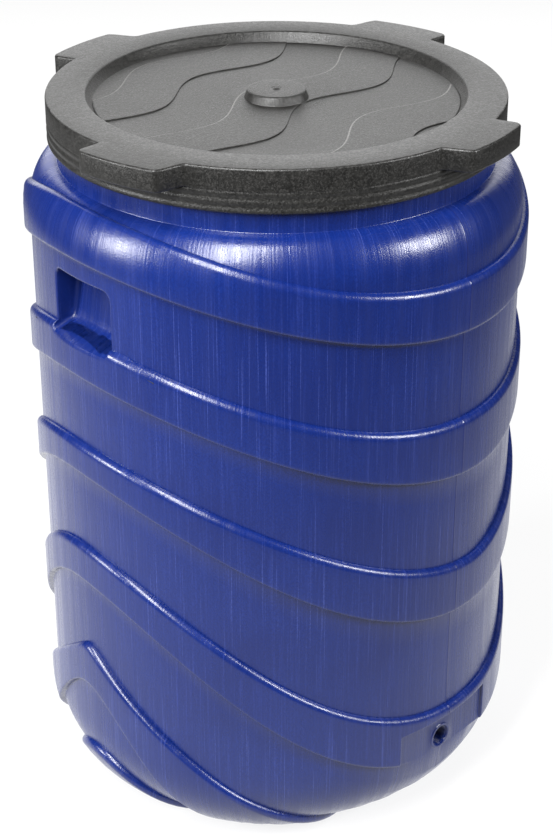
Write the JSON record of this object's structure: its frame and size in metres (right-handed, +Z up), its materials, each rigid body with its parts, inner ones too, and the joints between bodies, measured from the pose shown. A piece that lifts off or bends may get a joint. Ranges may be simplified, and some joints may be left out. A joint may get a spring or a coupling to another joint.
{
  "type": "rain barrel",
  "caption": "Tall round plastic rain barrel with wavy raised bands, recessed side hand grips, a low threaded tap port, and a screw lid with turning lugs.",
  "frame": {"origin": "centre of the base, on the ground", "axes": "+Z up along the barrel's axis; -Y through the tap port; the hand grips are at about +X and -X"},
  "size_m": [0.582, 0.582, 0.87],
  "materials": {
    "barrel_plastic": "satin blow-moulded polyethylene, deep blue, with fine vertical streaks",
    "lid_plastic": "charcoal injection-moulded polyethylene, fine matt grain",
    "gasket_rubber": "soft black sealing rubber"
  },
  "bodies": {
    "barrel": {"barrel_body": "barrel_plastic"},
    "seal": {"lid_gasket": "gasket_rubber"},
    "lid": {"screw_lid": "lid_plastic"}
  },
  "joints": [
    {"name": "lid_lift", "type": "slide", "parent": "barrel", "child": "seal", "axis": [0, 0, 1], "range_m": [0, 0.05]},
    {"name": "lid_turn", "type": "hinge", "parent": "seal", "child": "lid", "pos_m": [0, 0, 0.84], "axis": [0, 0, 1], "range_deg": [0, 900]}
  ],
  "couplings": [
    {"joint": "lid_turn", "follows": "lid_lift", "rad_per_m": 314.16}
  ]
}
